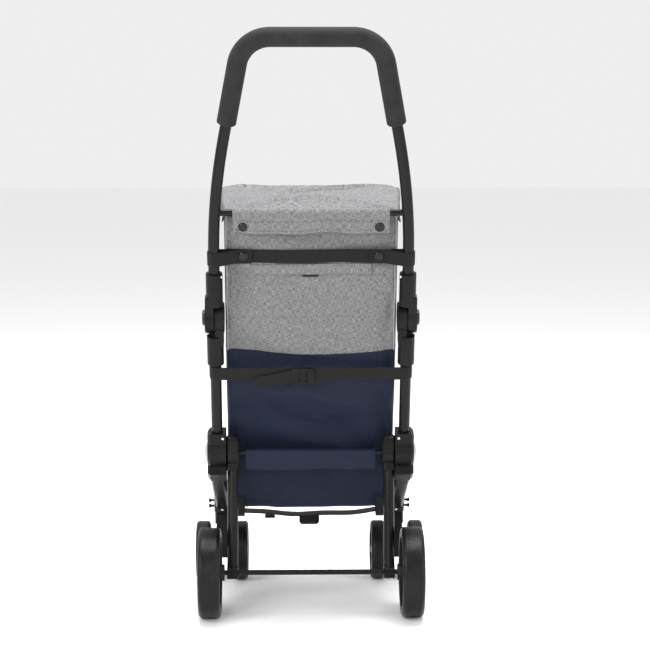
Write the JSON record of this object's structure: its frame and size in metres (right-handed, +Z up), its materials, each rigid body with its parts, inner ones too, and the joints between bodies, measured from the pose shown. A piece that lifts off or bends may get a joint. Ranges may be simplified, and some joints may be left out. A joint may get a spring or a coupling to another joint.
{
  "type": "folding shopping trolley",
  "caption": "Folding shopping trolley: leaning tube frame with a tall fabric bag, folding handle, rear wheels on folding legs and twin swivel castors in front.",
  "frame": {"origin": "on the floor, under the middle of the trolley's box", "axes": "+Z up, +Y the way it is pushed, +X to the right of the person pushing"},
  "size_m": [0.446, 0.5344, 1.07],
  "materials": {
    "black_tube": "semi-gloss powder coat",
    "zinc_steel": "zinc plated",
    "bright_rivet": "bright",
    "black_moulding": "fine grained nylon",
    "pale_disc": "translucent",
    "grey_button": "satin",
    "grip_foam": "closed-cell foam",
    "wheel_tread": "soft moulded",
    "grey_cloth": "melange weave",
    "navy_cloth": "plain weave",
    "webbing": "woven polyester",
    "board": "sheet"
  },
  "bodies": {
    "chassis": {"main_tubes": "black_tube", "hinge_lower_left": "black_moulding", "hinge_lower_right": "black_moulding", "hinge_pins": "zinc_steel", "knuckle_left": "black_moulding", "knuckle_right": "black_moulding", "knuckle_discs": "pale_disc", "front_arm_left": "black_moulding", "front_arm_right": "black_moulding", "castor_bushes": "black_moulding", "strap_pegs": "black_moulding", "lower_crossbar": "black_tube", "bag_lower": "navy_cloth", "base_board": "board", "lower_flap": "navy_cloth", "lower_strap": "webbing", "ladder_buckle": "black_moulding", "bottom_strap": "webbing", "strap_slider": "black_moulding", "side_release_buckle": "black_moulding", "frame_rivets": "bright_rivet"},
    "handle": {"handle_tube": "black_tube", "handle_grip": "grip_foam", "hinge_upper_left": "black_moulding", "hinge_upper_right": "black_moulding", "upper_crossbar": "black_tube", "bag_upper": "grey_cloth", "upper_flap": "grey_cloth", "upper_strap": "webbing", "snap_buttons": "black_moulding", "button_spring_left": "zinc_steel", "button_spring_right": "zinc_steel"},
    "lid": {"bag_lid": "grey_cloth"},
    "rear_legs": {"leg_socket_left": "black_moulding", "leg_socket_right": "black_moulding", "rear_leg_left": "black_tube", "rear_leg_right": "black_tube", "leg_foot_left": "black_moulding", "leg_foot_right": "black_moulding", "rear_axle": "zinc_steel", "axle_caps": "black_moulding"},
    "rear_wheel_left": {"rear_tyre_left": "wheel_tread", "rear_rim_left": "black_moulding"},
    "castor_left": {"castor_body_left": "black_moulding", "castor_axle_left": "zinc_steel"},
    "push_button_left": {"push_button_left": "grey_button"},
    "castor_wheel_left_inner": {"castor_tyre_left_inner": "wheel_tread", "castor_rim_left_inner": "black_moulding"},
    "castor_wheel_left_outer": {"castor_tyre_left_outer": "wheel_tread", "castor_rim_left_outer": "black_moulding"},
    "rear_wheel_right": {"rear_tyre_right": "wheel_tread", "rear_rim_right": "black_moulding"},
    "castor_right": {"castor_body_right": "black_moulding", "castor_axle_right": "zinc_steel"},
    "push_button_right": {"push_button_right": "grey_button"},
    "castor_wheel_right_inner": {"castor_tyre_right_inner": "wheel_tread", "castor_rim_right_inner": "black_moulding"},
    "castor_wheel_right_outer": {"castor_tyre_right_outer": "wheel_tread", "castor_rim_right_outer": "black_moulding"}
  },
  "joints": [
    {"name": "handle_fold", "type": "hinge", "parent": "chassis", "child": "handle", "pos_m": [0, -0.08622, 0.5578], "axis": [-1, 0, 0], "range_deg": [0, 150], "deforming": ["bag_lower", "bag_upper", "bag_lid"]},
    {"name": "lid_hinge", "type": "hinge", "parent": "handle", "child": "lid", "pos_m": [0, -0.14476, 0.7527], "axis": [1, 0, 0], "range_deg": [0, 85]},
    {"name": "leg_fold", "type": "hinge", "parent": "chassis", "child": "rear_legs", "pos_m": [0, -0.01934, 0.298], "axis": [1, 0, 0], "range_deg": [0, 28]},
    {"name": "rear_wheel_left_spin", "type": "hinge", "parent": "rear_legs", "child": "rear_wheel_left", "pos_m": [-0.18575, -0.06434, 0.0825], "axis": [1, 0, 0], "continuous": true},
    {"name": "castor_left_swivel", "type": "hinge", "parent": "chassis", "child": "castor_left", "pos_m": [-0.172, 0.23466, 0.14], "axis": [0, 0, 1], "continuous": true},
    {"name": "castor_wheel_left_inner_spin", "type": "hinge", "parent": "castor_left", "child": "castor_wheel_left_inner", "pos_m": [-0.135, 0.20966, 0.0575], "axis": [1, 0, 0], "continuous": true},
    {"name": "castor_wheel_left_outer_spin", "type": "hinge", "parent": "castor_left", "child": "castor_wheel_left_outer", "pos_m": [-0.209, 0.20966, 0.0575], "axis": [1, 0, 0], "continuous": true},
    {"name": "push_button_left_press", "type": "slide", "parent": "handle", "child": "push_button_left", "axis": [1, 0, 0], "range_m": [0, 0.004], "stiffness_N_per_m": 800, "springref_m": -0.001, "deforming": ["button_spring_left"]},
    {"name": "rear_wheel_right_spin", "type": "hinge", "parent": "rear_legs", "child": "rear_wheel_right", "pos_m": [0.18575, -0.06434, 0.0825], "axis": [1, 0, 0], "continuous": true},
    {"name": "castor_right_swivel", "type": "hinge", "parent": "chassis", "child": "castor_right", "pos_m": [0.172, 0.23466, 0.14], "axis": [0, 0, 1], "continuous": true},
    {"name": "castor_wheel_right_inner_spin", "type": "hinge", "parent": "castor_right", "child": "castor_wheel_right_inner", "pos_m": [0.135, 0.20966, 0.0575], "axis": [1, 0, 0], "continuous": true},
    {"name": "castor_wheel_right_outer_spin", "type": "hinge", "parent": "castor_right", "child": "castor_wheel_right_outer", "pos_m": [0.209, 0.20966, 0.0575], "axis": [1, 0, 0], "continuous": true},
    {"name": "push_button_right_press", "type": "slide", "parent": "handle", "child": "push_button_right", "axis": [-1, 0, 0], "range_m": [0, 0.004], "stiffness_N_per_m": 800, "springref_m": -0.001, "deforming": ["button_spring_right"]}
  ]
}
